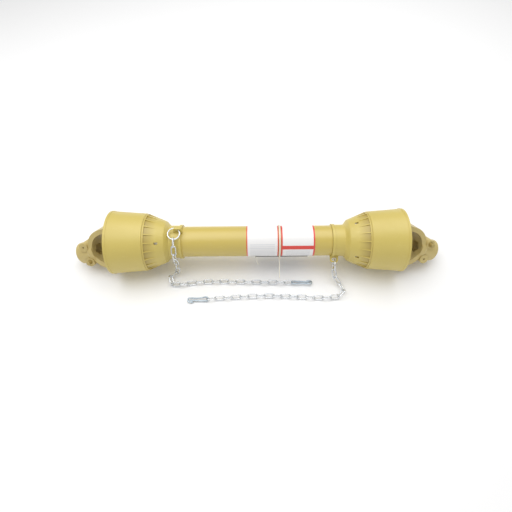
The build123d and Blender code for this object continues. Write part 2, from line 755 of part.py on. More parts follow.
def drilled(tube, at):
    hole = Pos(at, 0, 0) * (Rotation(90 - EAR_ROLL, 0, 0) * Cylinder(YOKE_PIN_R, 4 * NECK_R))
    return tube - hole


pin_x = JOINT_AT - YOKE_PIN_AT
outer_profile = drilled(profile_tube(0.0, -socket_floor, OUTER_PROFILE_END), -pin_x)
inner_profile = drilled(profile_tube(INNER_PROFILE_GROW, -INNER_PROFILE_END, socket_floor), pin_x)
add("profile_tube_outer", outer_profile, SHAFT)
add("profile_tube_inner", inner_profile, SHAFT)


# Bands wrapped round the outer guard tube
def wrap(start, end, inner_r, thickness, arc, middle):
    face = make_face(Polyline((start, inner_r), (start, inner_r + thickness), (end, inner_r + thickness),
                              (end, inner_r), close=True))
    shell = revolve(face, Axis.X, arc)
    return Rotation(middle - arc / 2 + 90, 0, 0) * shell


label_r = OUTER_GUARD_R + LABEL_GAP
add("label_left", wrap(*LEFT_LABEL, label_r, LABEL_THICKNESS, LABEL_ARC, LABEL_MIDDLE), SHAFT)
add("label_right", wrap(*RIGHT_LABEL, label_r, LABEL_THICKNESS, LABEL_ARC, LABEL_MIDDLE), SHAFT)

sleeve_r = label_r + LABEL_THICKNESS + LABEL_GAP
sleeve_end = SLEEVE_START + SLEEVE_LENGTH
sleeve = wrap(SLEEVE_START, sleeve_end, sleeve_r, SLEEVE_THICKNESS, SLEEVE_ARC, SLEEVE_ANGLE + SLEEVE_ARC / 2)
add("document_sleeve", sleeve, SHAFT)


def cable_tie():
    inner_r = sleeve_r + SLEEVE_THICKNESS + LABEL_GAP
    strap = band(TIE_AT - TIE_WIDTH / 2, TIE_AT + TIE_WIDTH / 2, inner_r, inner_r + TIE_THICKNESS)
    head = Pos(TIE_AT, 0, inner_r + TIE_HEAD / 2) * Box(TIE_HEAD, TIE_HEAD, TIE_HEAD)
    tail = Pos(TIE_AT, 0, inner_r + TIE_TAIL_LENGTH / 2) * Box(TIE_TAIL_WIDTH, TIE_THICKNESS, TIE_TAIL_LENGTH)
    return strap + turned_to(head + tail, SLEEVE_ANGLE - 3)


add("cable_tie", cable_tie(), SHAFT)


# Rings in the eyelets: one lies over the collar, the other hangs from its eyelet
def ring_loop(centre, along, across):
    points = []
    for k in range(16):
        a = math.radians(22.5 * k)
        points.append(tuple(centre + along * (RING_R * math.cos(a)) + across * (RING_R * math.sin(a))))
    return wire_form(points, RING_WIRE / 2, 8, along.cross(across), closed=True)


def eyelet(half):
    reach = COLLAR_R[half] + LUG_RISE
    return Vector(TURN[half] * LUG_AT, 0, AXIS_Z) + around(LUG_ANGLE[half]) * reach


def flat_ring(half):
    slope = math.radians(FLAT_RING_SLOPE)
    outward = around(LUG_ANGLE[half])
    along = around(LUG_ANGLE[half] + 90) * math.cos(slope) - outward * math.sin(slope)
    depth = RING_R - LUG_THICKNESS / 2 - RING_WIRE / 2 - RING_GAP
    hole = eyelet(half)
    centre = hole + Vector(TURN[half] * FLAT_RING_SHIFT, 0, 0) + along * depth
    return hole, centre, along, Vector(1, 0, 0)


def hanging_ring(half):
    outward = around(LUG_ANGLE[half] + HANGING_RING_SLOPE)
    hole = eyelet(half) + Vector(TURN[half] * HANGING_RING_SHIFT, 0, 0)
    return hole, hole + outward * RING_R, outward, outward.cross(Vector(1, 0, 0))


# Chain links: each bow lies inside the next one and leans to one side in turn
def link_loop(near, far, normal):
    """One link from the centres of its two bows."""
    along = (far - near).normalized()
    across = normal.cross(along).normalized()
    points = []
    for bow, side in ((far, 1), (near, -1)):
        for k in range(7):
            a = math.radians(-90 + 30 * k)
            forward = along * (side * LINK_BOW_R * math.cos(a))
            points.append(tuple(bow + forward + across * (side * LINK_BOW_R * math.sin(a))))
    return wire_form(points, LINK_R, 6, along.cross(across), closed=True)


def marched(path, first_step, step, count):
    """Points at equal straight distances from one another along a dense line."""
    found = [path[0]]
    i = 0
    reach = first_step
    while len(found) <= count:
        here = found[-1]
        while (path[i + 1] - here).length < reach:
            i += 1
        near = (path[i] - here).length
        far = (path[i + 1] - here).length
        share = max(0.0, (reach - near) / (far - near))
        found.append(path[i] + (path[i + 1] - path[i]) * share)
        reach = step
    return found


def dense(points):
    """A smooth line through points, as many short steps."""
    curve = Spline(*[tuple(p) for p in points])
    steps = int(curve.length)
    line = [curve.position_at(k / steps) for k in range(steps + 1)]
    return [Vector(p.X, p.Y, max(p.Z, CHAIN_Z)) for p in line]


UP = Vector(0, 0, 1)


def twist_between(along, start, end):
    """Angle about a direction from one side vector to another, at most a quarter turn."""
    wanted = end - along * end.dot(along)
    angle = math.atan2(start.cross(wanted).dot(along), start.dot(wanted))
    if angle > math.pi / 2:
        return angle - math.pi
    if angle < -math.pi / 2:
        return angle + math.pi
    return angle


def link_angles(points, laid_from, lean, start_side):
    """Side vectors and leans of all links, twisting evenly on the way down."""
    along = [(b - a).normalized() for a, b in zip(points[:-1], points[1:])]
    sides = [None] * len(along)
    for k in range(len(along) - 1, -1, -1):
        if k >= laid_from:
            sides[k] = UP.cross(along[k]).normalized()
        else:
            sides[k] = (sides[k + 1] - along[k] * sides[k + 1].dot(along[k])).normalized()
    leans = [math.radians(lean if (k - laid_from) % 2 == 0 else -lean) for k in range(len(along))]
    first = sides[0] * math.cos(leans[0]) + along[0].cross(sides[0]) * math.sin(leans[0])
    error = twist_between(along[0], first, start_side)
    for k in range(laid_from):
        leans[k] += error * (1 - k / laid_from)
    return sides, leans


def linked(centre, reach, normal, targets, sides, leans):
    """Bow centres and normals of the links, each hung in the bow before it."""
    links = []
    for target, side, lean in zip(targets, sides, leans):
        near = centre
        for _ in range(8):
            along = (target - near).normalized()
            flat = (side - along * side.dot(along)).normalized()
            own = flat * math.cos(lean) + along.cross(flat) * math.sin(lean)
            step = normal.cross(own).normalized()
            step = step if step.dot(along) > 0 else step * -1
            near = centre + step * reach
        far = near + (target - near).normalized() * LINK_STRAIGHT
        links.append((near, far, own))
        centre, reach, normal = far, LINK_REACH, own
    return links


# Hook: one bent wire, its spring leg closing behind the nose
def hook_line():
    waist = (HOOK_WAIST - HOOK_WIRE) / 2
    nose_r = (HOOK_WIDTH - HOOK_WIRE) / 2
    nose_at = HOOK_LENGTH - HOOK_WIRE - nose_r
    points = [(nose_at + 2, waist / 3), (nose_at - 10, waist / 2), (HOOK_LENGTH * 0.42, waist)]
    for k in range(7):
        a = math.radians(60 + 40 * k)
        points.append((HOOK_EYE_R + HOOK_EYE_R * math.cos(a), HOOK_EYE_R * math.sin(a)))
    points += [(HOOK_LENGTH * 0.42, -waist), (HOOK_LENGTH * 0.56, -waist)]
    for k in range(7):
        a = math.radians(-80 + 30 * k)
        points.append((nose_at + nose_r * math.cos(a), nose_r * math.sin(a)))
    points.append((nose_at - 8, nose_r - 0.3))
    return points


def hook_shape(eye, along, normal):
    across = normal.cross(along).normalized()
    points = [tuple(eye + along * x + across * y) for x, y in hook_line()]
    return wire_form(points, HOOK_WIRE / 2, 8, normal)


# Way of each chain: from its ring down to the ground, then along to its hook
chains = {}
DROP_TO = {"a": (-226.0, -60.0), "b": (220.0, -89.0)}
LAID = {
    "a": [(-240, -66), (-245, -76), (-238, -86), (-222, -90), (-196, -87), (-19, -84), (136, -87), (240, -87)],
    "b": [(231, -104), (234, -116), (226, -127), (208, -132), (180, -133), (62, -127), (-73, -130), (-240, -140)],
}
LINK_COUNT = {"a": 23, "b": 20}
DROP_LINKS = {"a": 6, "b": 2}
LEAN = {"a": -LINK_LEAN, "b": LINK_LEAN}
ring_parts = {"a": flat_ring("a"), "b": hanging_ring("b")}

for half in "ab":
    hole, centre, along, across = ring_parts[half]
    nodes["chain_ring_" + half] = ring_loop(centre, along, across)
    start = centre + along * RING_REACH
    bend = [Vector(x, y, CHAIN_Z + CHAIN_BEND_RISE) for x, y in LAID[half][:4]]
    ground = bend + [Vector(x, y, CHAIN_Z) for x, y in LAID[half][4:]]
    touch = Vector(*DROP_TO[half], CHAIN_Z + CHAIN_TOUCH_RISE[half])
    if half == "a":
        arc = [Vector(start.X, 0, AXIS_Z) + around(k) * CHAIN_DRAPE_R for k in range(50, 91, 10)]
        knee = Vector(start.X - 2, -CHAIN_DRAPE_R, CHAIN_Z + 22)
        path = dense([start] + arc + [knee, touch] + ground)
    else:
        path = dense([start, touch] + ground)
    targets = marched(path, LINK_STRAIGHT, CHAIN_STEP, LINK_COUNT[half])
    laid_from = DROP_LINKS[half]
    start_side = Vector(1, 0, 0) if half == "a" else across + Vector(HANGING_LINK_LEAN, 0, 0)
    sides, leans = link_angles(targets, laid_from, LEAN[half], start_side)
    links = linked(centre, RING_REACH, along.cross(across), targets[1:], sides, leans)
    loops = [link_loop(*link) for link in links]
    nodes["chain_drop_" + half] = Compound(loops[:laid_from])
    nodes["chain_run_" + half] = Compound(loops[laid_from:])
    near, end, last = links[-1]
    level = Vector((end - near).X, (end - near).Y, 0).normalized()
    side = UP.cross(level)
    tilt = math.radians(HOOK_TILT)
    toward = -1 if last.dot(side) * last.Z > 0 else 1
    hook_normal = UP * math.cos(tilt) + side * (toward * math.sin(tilt))
    hook_low = HOOK_WIRE / 2 + (HOOK_WIDTH - HOOK_WIRE) / 2 * math.sin(tilt) + CHAIN_REST_GAP
    slope = math.asin((end.Z - hook_low) / HOOK_LENGTH)
    hook_along = level * math.cos(slope) - UP * math.sin(slope)
    hook_along = (hook_along - hook_normal * hook_along.dot(hook_normal)).normalized()
    step = last.cross(hook_normal).normalized()
    step = step if step.dot(hook_along) > 0 else step * -1
    eye_centre = end + step * HOOK_REACH
    nodes["hook_" + half] = hook_shape(eye_centre - hook_along * HOOK_EYE_R, hook_along, hook_normal)
    chains[half] = {
        "hole": hole,
        "ring_centre": centre,
        "ring_end": centre + along * RING_R,
        "knee": links[laid_from][0],
        "knee_axis": links[laid_from][2],
        "end": eye_centre,
        "end_axis": hook_normal,
    }

# The origin is under the middle of the whole drive shaft, on the ground
boxes = [shape.bounding_box() for shape in nodes.values()]
MIDDLE_X = (min(box.min.X for box in boxes) + max(box.max.X for box in boxes)) / 2
MIDDLE_Y = (min(box.min.Y for box in boxes) + max(box.max.Y for box in boxes)) / 2
SHIFT = Vector(-MIDDLE_X, -MIDDLE_Y, 0)
placed = {name: shape.moved(Location(SHIFT)) for name, shape in nodes.items()}

for name, shape in placed.items():
    export_step(shape, os.path.join("parts", name + ".step"))
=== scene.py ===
import math

import bpy
import numpy as np
from mathutils import Matrix, Vector


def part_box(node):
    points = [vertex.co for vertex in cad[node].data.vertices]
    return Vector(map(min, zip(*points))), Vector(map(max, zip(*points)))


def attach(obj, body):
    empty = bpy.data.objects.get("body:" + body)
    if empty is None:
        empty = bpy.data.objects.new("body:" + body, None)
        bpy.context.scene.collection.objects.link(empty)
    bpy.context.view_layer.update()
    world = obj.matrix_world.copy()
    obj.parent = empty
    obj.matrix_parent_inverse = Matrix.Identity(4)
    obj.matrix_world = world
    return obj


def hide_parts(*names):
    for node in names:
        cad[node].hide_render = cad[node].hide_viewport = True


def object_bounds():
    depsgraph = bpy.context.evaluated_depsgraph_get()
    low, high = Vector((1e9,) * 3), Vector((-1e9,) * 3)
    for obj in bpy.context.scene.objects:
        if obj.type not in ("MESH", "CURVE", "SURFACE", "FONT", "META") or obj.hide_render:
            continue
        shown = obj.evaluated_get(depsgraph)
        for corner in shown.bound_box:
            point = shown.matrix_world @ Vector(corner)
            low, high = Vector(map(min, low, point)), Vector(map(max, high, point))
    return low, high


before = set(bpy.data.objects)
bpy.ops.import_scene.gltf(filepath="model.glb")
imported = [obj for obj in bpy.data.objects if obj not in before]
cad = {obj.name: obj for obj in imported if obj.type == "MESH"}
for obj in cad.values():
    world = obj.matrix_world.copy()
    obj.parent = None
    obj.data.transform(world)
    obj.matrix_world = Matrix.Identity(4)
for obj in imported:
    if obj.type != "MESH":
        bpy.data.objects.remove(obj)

cad_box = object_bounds()
bpy.ops.object.select_all(action="DESELECT")

# Guard bells and ribbed cones: injection-moulded plastic in the pale yellow of farm
# machine guards. Each bell is pressed over its cone's spigot, and the cone's eyelet
# and rib pockets come out of the same mould. Handling leaves them lightly rubbed.
HALVES = ("a", "b")
GUARD_YELLOW = (0.60, 0.475, 0.105, 1)
GUARD_WORN = (0.67, 0.56, 0.20, 1)
GUARD_DUSTY = (0.52, 0.40, 0.085, 1)
GUARD_ROUGHNESS = 0.46
GUARD_COAT = 0.45
# Dark brown painted into the floors of the cones' rib pockets as shade.
POCKET_SHADE_PAINT = (0.34, 0.24, 0.05, 1)
CONE_TIP_X = 0.246
CONE_BASE_X = 0.2905
CONE_TIP_R = 0.0568
CONE_BASE_R = 0.0756
POCKET_RIM_DEPTH = 0.0002
POCKET_DEPTH = 0.0028
tube_low, tube_high = (Vector(corner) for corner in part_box("guard_tube_outer"))
AXIS_Y = (tube_low.y + tube_high.y) / 2
AXIS_Z = (tube_low.z + tube_high.z) / 2


def fill(tree, socket, value):
    """Sets a node's input to a number or colour, or links it where value is a socket."""
    if isinstance(value, bpy.types.NodeSocket):
        tree.links.new(value, socket)
    else:
        socket.default_value = value


def math_node(tree, operation, *values):
    node = tree.nodes.new("ShaderNodeMath")
    node.operation = operation
    for index, value in enumerate(values):
        fill(tree, node.inputs[index], value)
    return node.outputs["Value"]


def scaled(tree, value, factor, offset=0.0):
    return math_node(tree, "MULTIPLY_ADD", value, factor, offset)


def ranged(tree, value, low, high):
    """Goes from 0 to 1 as value goes from low to high."""
    node = tree.nodes.new("ShaderNodeMapRange")
    fill(tree, node.inputs["From Min"], low)
    fill(tree, node.inputs["From Max"], high)
    fill(tree, node.inputs["Value"], value)
    return node.outputs["Result"]


def noise(tree, vector, scale, detail, roughness=0.5):
    node = tree.nodes.new("ShaderNodeTexNoise")
    fill(tree, node.inputs["Vector"], vector)
    fill(tree, node.inputs["Scale"], scale)
    fill(tree, node.inputs["Detail"], detail)
    fill(tree, node.inputs["Roughness"], roughness)
    return node.outputs["Fac"]


def object_place(tree):
    return tree.nodes.new("ShaderNodeTexCoord").outputs["Object"]


def new_group(name, inputs, outputs):
    """An empty shader node group with named number sockets."""
    tree = bpy.data.node_groups.new(name, "ShaderNodeTree")
    for label, value in inputs:
        socket = tree.interface.new_socket(
            name=label, in_out="INPUT", socket_type="NodeSocketFloat"
        )
        socket.default_value = value
    for label in outputs:
        tree.interface.new_socket(name=label, in_out="OUTPUT", socket_type="NodeSocketFloat")
    start = tree.nodes.new("NodeGroupInput")
    end = tree.nodes.new("NodeGroupOutput")
    return tree, start, end


def moulded_grain_group():
    """Fine texture of a moulded or cast skin, as a height."""
    inputs = [("Scale", 900.0), ("Ripple", 0.3)]
    tree, start, end = new_group("moulded grain", inputs, ["Height"])
    place = object_place(tree)
    fine = noise(tree, place, start.outputs["Scale"], detail=3.0)
    broad = noise(tree, place, scale=14.0, detail=2.0)
    height = math_node(tree, "MULTIPLY_ADD", broad, start.outputs["Ripple"], fine)
    tree.links.new(height, end.inputs["Height"])
    return tree


def handling_group():
    """Where a surface is rubbed or dirtied: soft patches and short scuffs, from 0 to 1."""
    inputs = [("Patch Scale", 9.0), ("Scuff Scale", 60.0)]
    tree, start, end = new_group("handling marks", inputs, ["Patches", "Scuffs"])
    place = object_place(tree)
    patch = noise(tree, place, start.outputs["Patch Scale"], detail=5.0, roughness=0.6)
    tree.links.new(ranged(tree, patch, low=0.42, high=0.72), end.inputs["Patches"])
    stretch = tree.nodes.new("ShaderNodeMapping")
    stretch.inputs["Scale"].default_value = (1.0, 4.0, 4.0)
    stretch.inputs["Rotation"].default_value = (0.3, 0.5, 0.9)
    tree.links.new(place, stretch.inputs["Vector"])
    stretched = stretch.outputs["Vector"]
    scuff = noise(tree, stretched, start.outputs["Scuff Scale"], detail=6.0, roughness=0.7)
    tree.links.new(ranged(tree, scuff, low=0.60, high=0.70), end.inputs["Scuffs"])
    return tree


moulded_grain = moulded_grain_group()
handling_marks = handling_group()


def add_group(tree, group, **values):
    node = tree.nodes.new("ShaderNodeGroup")
    node.node_tree = group
    for label, value in values.items():
        node.inputs[label.replace("_", " ")].default_value = value
    return node


def mixed_colour(tree, factor, first, second):
    """Colour that goes from first to second as factor rises; each may be a socket."""
    mix = tree.nodes.new("ShaderNodeMix")
    mix.data_type = "RGBA"
    for value, index in ((factor, 0), (first, 6), (second, 7)):
        fill(tree, mix.inputs[index], value)
    return mix.outputs[2]


def new_material(name):
    """A material with its Principled shader; returns the material, tree and shader."""
    material = bpy.data.materials.new(name)
    material.use_nodes = True
    tree = material.node_tree
    return material, tree, tree.nodes["Principled BSDF"]


def bumped(tree, shader, height, strength, distance):
    bump = tree.nodes.new("ShaderNodeBump")
    bump.inputs["Strength"].default_value = strength
    bump.inputs["Distance"].default_value = distance
    tree.links.new(height, bump.inputs["Height"])
    tree.links.new(bump.outputs["Normal"], shader.inputs["Normal"])


def finish_node(name, material):
    """Gives a CAD node its finish."""
    data = cad[name].data
    if not data.materials:
        data.materials.append(material)
    for index in range(len(data.materials)):
        data.materials[index] = material


def plastic_material(name, colour, worn, dusty, roughness, coat):
    material, tree, shader = new_material(name)
    marks = add_group(tree, handling_marks, Patch_Scale=7.0, Scuff_Scale=45.0)
    grain = add_group(tree, moulded_grain, Scale=1400.0, Ripple=0.6)
    faint = scaled(tree, marks.outputs["Patches"], factor=0.35)
    base = mixed_colour(tree, faint, colour, dusty)
    rubbed = scaled(tree, marks.outputs["Scuffs"], factor=0.4)
    base = mixed_colour(tree, rubbed, base, worn)
    tree.links.new(base, shader.inputs["Base Color"])
    rough = scaled(tree, marks.outputs["Patches"], factor=0.14, offset=roughness)
    tree.links.new(rough, shader.inputs["Roughness"])
    shader.inputs["Coat Weight"].default_value = coat
    shader.inputs["Coat Roughness"].default_value = 0.42
    shader.inputs["Specular IOR Level"].default_value = 0.7
    bumped(tree, shader, grain.outputs["Height"], strength=0.12, distance=0.0004)
    return material


def vector_node(tree, operation, vector, by=None):
    node = tree.nodes.new("ShaderNodeVectorMath")
    node.operation = operation
    tree.links.new(vector, node.inputs[0])
    if by is not None:
        node.inputs[1].default_value = by
    return node


def sunk_mask(tree):
    """From 0 on the cone's outer face to 1 in the floors of its rib pockets, where painted
    shade goes.
    """
    centred = vector_node(tree, "SUBTRACT", object_place(tree), by=(0, AXIS_Y, AXIS_Z))
    flat = vector_node(tree, "MULTIPLY", centred.outputs["Vector"], by=(0, 1, 1))
    radius = vector_node(tree, "LENGTH", flat.outputs["Vector"]).outputs["Value"]
    apart = tree.nodes.new("ShaderNodeSeparateXYZ")
    tree.links.new(centred.outputs["Vector"], apart.inputs["Vector"])
    outward = math_node(tree, "ABSOLUTE", apart.outputs["X"])
    face = tree.nodes.new("ShaderNodeMapRange")
    face.clamp = False
    for label, value in (
        ("From Min", CONE_TIP_X),
        ("From Max", CONE_BASE_X),
        ("To Min", CONE_TIP_R),
        ("To Max", CONE_BASE_R),
        ("Value", outward),
    ):
        fill(tree, face.inputs[label], value)
    depth = math_node(tree, "SUBTRACT", face.outputs["Result"], radius)
    sunk = ranged(tree, depth, low=POCKET_RIM_DEPTH, high=POCKET_DEPTH)
    ribbed = math_node(tree, "GREATER_THAN", outward, CONE_TIP_X)
    return math_node(tree, "MULTIPLY", sunk, ribbed)


def guard_finish(name):
    return plastic_material(
        name, GUARD_YELLOW, GUARD_WORN, GUARD_DUSTY, GUARD_ROUGHNESS, GUARD_COAT
    )


guard_plastic = guard_finish("guard plastic")
cone_plastic = guard_finish("cone plastic")
cone_tree = cone_plastic.node_tree
cone_colour = cone_tree.nodes["Principled BSDF"].inputs["Base Color"]
clean_skin = cone_colour.links[0].from_socket
# Painted shade: the rib pocket floors are darkened towards dark brown, most where they sink
# deepest.
painted_pocket_shade = scaled(cone_tree, sunk_mask(cone_tree), factor=0.75)
cone_tree.links.new(mixed_colour(cone_tree, painted_pocket_shade, clean_skin, POCKET_SHADE_PAINT), cone_colour)
for half in HALVES:
    finish_node("bell_" + half, guard_plastic)
    finish_node("ribbed_cone_" + half, cone_plastic)

# Guard tubes: extruded plastic pipe, a little deeper in colour and smoother than the
# bells. The thinner tube slides inside the outer one.
TUBE_YELLOW = (0.58, 0.445, 0.090, 1)
TUBE_WORN = (0.64, 0.52, 0.17, 1)
TUBE_DUSTY = (0.52, 0.40, 0.12, 1)
tube_plastic = plastic_material(
    "guard tube plastic", TUBE_YELLOW, TUBE_WORN, TUBE_DUSTY, roughness=0.40, coat=0.5
)
for name in ("guard_tube_outer", "guard_tube_inner"):
    finish_node(name, tube_plastic)

# Bearing rings: split rings of plain nylon, smooth where they run in the yoke's groove.
# Their tabs snap into windows in the cone.
NYLON = (0.72, 0.69, 0.60, 1)
NYLON_SOILED = (0.45, 0.41, 0.30, 1)
bearing_nylon = plastic_material(
    "bearing nylon", NYLON, NYLON, NYLON_SOILED, roughness=0.4, coat=0.0
)
for half in HALVES:
    finish_node("bearing_ring_" + half, bearing_nylon)

# Yokes: drop-forged steel with the rough skin of the die, machined at hub and ears, then
# dipped in a thin tan coating that runs thin on the edges.
FORGING_TAN = (0.60, 0.48, 0.19, 1)
FORGING_SHADE = (0.50, 0.385, 0.14, 1)
FORGING_THIN_COAT = (0.36, 0.30, 0.18, 1)


def coated_forging():
    material, tree, shader = new_material("coated forging")
    marks = add_group(tree, handling_marks, Patch_Scale=16.0, Scuff_Scale=70.0)
    grain = add_group(tree, moulded_grain, Scale=520.0, Ripple=1.2)
    shade = scaled(tree, marks.outputs["Patches"], factor=0.5)
    base = mixed_colour(tree, shade, FORGING_TAN, FORGING_SHADE)
    thin = scaled(tree, marks.outputs["Scuffs"], factor=0.55)
    base = mixed_colour(tree, thin, base, FORGING_THIN_COAT)
    tree.links.new(base, shader.inputs["Base Color"])
    rough = scaled(tree, marks.outputs["Patches"], factor=0.16, offset=0.40)
    tree.links.new(rough, shader.inputs["Roughness"])
    shader.inputs["Metallic"].default_value = 0.1
    shader.inputs["Coat Weight"].default_value = 0.1
    shader.inputs["Coat Roughness"].default_value = 0.35
    bumped(tree, shader, grain.outputs["Height"], strength=0.3, distance=0.0007)
    return material


forging = coated_forging()
for half in HALVES:
    finish_node("inner_yoke_" + half, forging)
    finish_node("outer_yoke_" + half, forging)

# Crosses, bearing cups, circlips and spring pins: hardened and ground steel with a film
# of grease that has caught dust.
CROSS_BRIGHT = (0.32, 0.27, 0.17, 1)
CROSS_GREASE = (0.12, 0.09, 0.05, 1)
CUP_BRIGHT = (0.42, 0.38, 0.30, 1)
CUP_GREASE = (0.25, 0.20, 0.12, 1)
CLIP_BRIGHT = (0.16, 0.155, 0.14, 1)
CLIP_GREASE = (0.10, 0.09, 0.07, 1)


def greased_steel(name, bright, grease, roughness):
    material, tree, shader = new_material(name)
    marks = add_group(tree, handling_marks, Patch_Scale=30.0, Scuff_Scale=120.0)
    grain = add_group(tree, moulded_grain, Scale=900.0, Ripple=0.4)
    base = mixed_colour(tree, marks.outputs["Patches"], bright, grease)
    tree.links.new(base, shader.inputs["Base Color"])
    rough = scaled(tree, marks.outputs["Patches"], factor=0.25, offset=roughness)
    tree.links.new(rough, shader.inputs["Roughness"])
    metal = scaled(tree, marks.outputs["Patches"], factor=-0.35, offset=0.9)
    tree.links.new(metal, shader.inputs["Metallic"])
    bumped(tree, shader, grain.outputs["Height"], strength=0.15, distance=0.0003)
    return material


cross_steel = greased_steel("greased cross", CROSS_BRIGHT, CROSS_GREASE, roughness=0.35)
cup_steel = greased_steel("turned cup", CUP_BRIGHT, CUP_GREASE, roughness=0.3)
clip_steel = greased_steel("phosphated spring steel", CLIP_BRIGHT, CLIP_GREASE, roughness=0.38)
for half in HALVES:
    finish_node("cross_" + half, cross_steel)
    finish_node("grease_nipple_" + half, cup_steel)
    for name in ("inner_cups_", "outer_cups_"):
        finish_node(name + half, cup_steel)
    for name in ("inner_circlips_", "outer_circlips_", "yoke_pin_"):
        finish_node(name + half, clip_steel)

# Profile tubes: drawn steel of a three-cornered section, greased so that they telescope.
# Each is held in its inner yoke by a rolled pin.
PROFILE_BRIGHT = (0.30, 0.30, 0.30, 1)
PROFILE_GREASE = (0.13, 0.11, 0.08, 1)
tube_steel = greased_steel(
    "greased profile tube", PROFILE_BRIGHT, PROFILE_GREASE, roughness=0.33
)
for name in ("profile_tube_outer", "profile_tube_inner"):
    finish_node(name, tube_steel)

# Quick-release pins: turned steel dipped with the yokes, so the button has the same tan
# coat, rubbed on its crown. Each sits in a retaining ring over its spring.
PIN_TAN = (0.58, 0.47, 0.20, 1)
PIN_SHADE = (0.46, 0.36, 0.14, 1)
pin_coat = greased_steel("coated pin", PIN_TAN, PIN_SHADE, roughness=0.42)
for half in HALVES:
    finish_node("pin_rings_" + half, pin_coat)
    for number in "12":
        finish_node("push_pin_" + half + number, pin_coat)
        finish_node("pin_spring_" + half + number, clip_steel)

# Labels: two bands of white film glued round the tube, with coloured margins. Thin grey
# rules fill the lower part of each, and a coloured stripe runs along the right one.
FILM_WHITE = (0.86, 0.85, 0.84, 1)
FILM_SOILED = (0.74, 0.73, 0.72, 1)
RULE_GREY = (0.50, 0.52, 0.58, 1)
MARGIN_RED = (0.72, 0.075, 0.06, 1)
STRIPE_RISE = 0.0208
RULE_STEP = 0.0042
RULE_HALF_WIDTH = RULE_STEP / 5


def label_material(name, start, end, margin, stripe_width, rules_top):
    """White film from start to end along the tube; no stripe where its width is 0."""
    material, tree, shader = new_material(name)
    apart = tree.nodes.new("ShaderNodeSeparateXYZ")
    tree.links.new(object_place(tree), apart.inputs["Vector"])
    along, across, height = (apart.outputs[axis] for axis in "XYZ")
    half_length = (end - start) / 2
    from_middle = math_node(tree, "SUBTRACT", along, (start + end) / 2)
    away = math_node(tree, "ABSOLUTE", from_middle)
    coloured = math_node(tree, "GREATER_THAN", away, half_length - margin)
    if stripe_width:
        stripe_z = AXIS_Z + STRIPE_RISE
        in_stripe = math_node(tree, "COMPARE", height, stripe_z, stripe_width / 2)
        in_front = math_node(tree, "LESS_THAN", across, AXIS_Y)
        stripe = math_node(tree, "MULTIPLY", in_stripe, in_front)
        coloured = math_node(tree, "MAXIMUM", coloured, stripe)
    marks = add_group(tree, handling_marks, Patch_Scale=14.0, Scuff_Scale=80.0)
    faint = scaled(tree, marks.outputs["Patches"], factor=0.25)
    film = mixed_colour(tree, faint, FILM_WHITE, FILM_SOILED)
    from_rule = math_node(tree, "PINGPONG", height, RULE_STEP / 2)
    on_rule = math_node(tree, "LESS_THAN", from_rule, RULE_HALF_WIDTH)
    rules_end = half_length - 2 * margin - RULE_STEP
    inside = math_node(tree, "LESS_THAN", away, rules_end)
    below = math_node(tree, "LESS_THAN", height, rules_top)
    ruled = math_node(tree, "MULTIPLY", inside, on_rule)
    ruled = math_node(tree, "MULTIPLY", ruled, below)
    film = mixed_colour(tree, scaled(tree, ruled, factor=0.5), film, RULE_GREY)
    colour = mixed_colour(tree, coloured, film, MARGIN_RED)
    tree.links.new(colour, shader.inputs["Base Color"])
    rough = scaled(tree, marks.outputs["Scuffs"], factor=0.2, offset=0.28)
    tree.links.new(rough, shader.inputs["Roughness"])
    grain = add_group(tree, moulded_grain, Scale=300.0, Ripple=2.0)
    bumped(tree, shader, grain.outputs["Height"], strength=0.05, distance=0.0003)
    return material


for name, margin, stripe_width, rules_rise in (
    ("label_left", 0.0028, 0.0, 0.030),
    ("label_right", 0.0042, 0.0094, 0.012),
):
    low, high = (Vector(corner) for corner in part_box(name))
    rules_top = AXIS_Z + rules_rise
    film = label_material(name + " film", low.x, high.x, margin, stripe_width, rules_top)
    finish_node(name, film)

# Long tie and sleeve: a cream nylon tie pulled round the tube holds a thin dark plastic
# sleeve under it.
TIE_CREAM = (0.78, 0.74, 0.62, 1)
TIE_RUBBED = (0.8, 0.77, 0.68, 1)
TIE_SOILED = (0.66, 0.62, 0.5, 1)
SLEEVE_BLACK = (0.03, 0.03, 0.035, 1)
SLEEVE_RUBBED = (0.08, 0.08, 0.09, 1)
SLEEVE_DUSTY = (0.05, 0.05, 0.05, 1)
tie_nylon = plastic_material(
    "tie nylon", TIE_CREAM, TIE_RUBBED, TIE_SOILED, roughness=0.35, coat=0.1
)
finish_node("cable_tie", tie_nylon)
sleeve_film = plastic_material(
    "sleeve film", SLEEVE_BLACK, SLEEVE_RUBBED, SLEEVE_DUSTY, roughness=0.3, coat=0.3
)
finish_node("document_sleeve", sleeve_film)

# Small tie: a second nylon tie at the sleeve's left end. Only its moulded head and its
# cut tail show, below the tube.
SMALL_TIE_X = -0.0040
SMALL_TIE_ANGLE = math.radians(119)
SMALL_TIE_LEAN = math.radians(18)
SMALL_HEAD_SIZE = (0.0036, 0.0030, 0.0026)
SMALL_HEAD_RISE = 0.0012
SMALL_TAIL_WIDTH = 0.0017
SMALL_TAIL_THICKNESS = 0.0009
SMALL_TAIL_LENGTH = 0.021
SMALL_TIE_EDGE = 0.0003
SLEEVE_R = 0.0430
out_from_tube = Vector((0, -math.sin(SMALL_TIE_ANGLE), math.cos(SMALL_TIE_ANGLE)))
head_rise = out_from_tube * (SLEEVE_R + SMALL_HEAD_RISE)
head_at = Vector((SMALL_TIE_X, AXIS_Y, AXIS_Z)) + head_rise
lean_way = Vector((math.sin(SMALL_TIE_LEAN), 0, 0))
tail_way = (out_from_tube * math.cos(SMALL_TIE_LEAN) + lean_way).normalized()
tail_turn = tail_way.to_track_quat("Z", "Y").to_euler()
tail_size = (SMALL_TAIL_WIDTH, SMALL_TAIL_THICKNESS, SMALL_TAIL_LENGTH)
tail_at = head_at + tail_way * (SMALL_TAIL_LENGTH / 2)
tie_parts = []
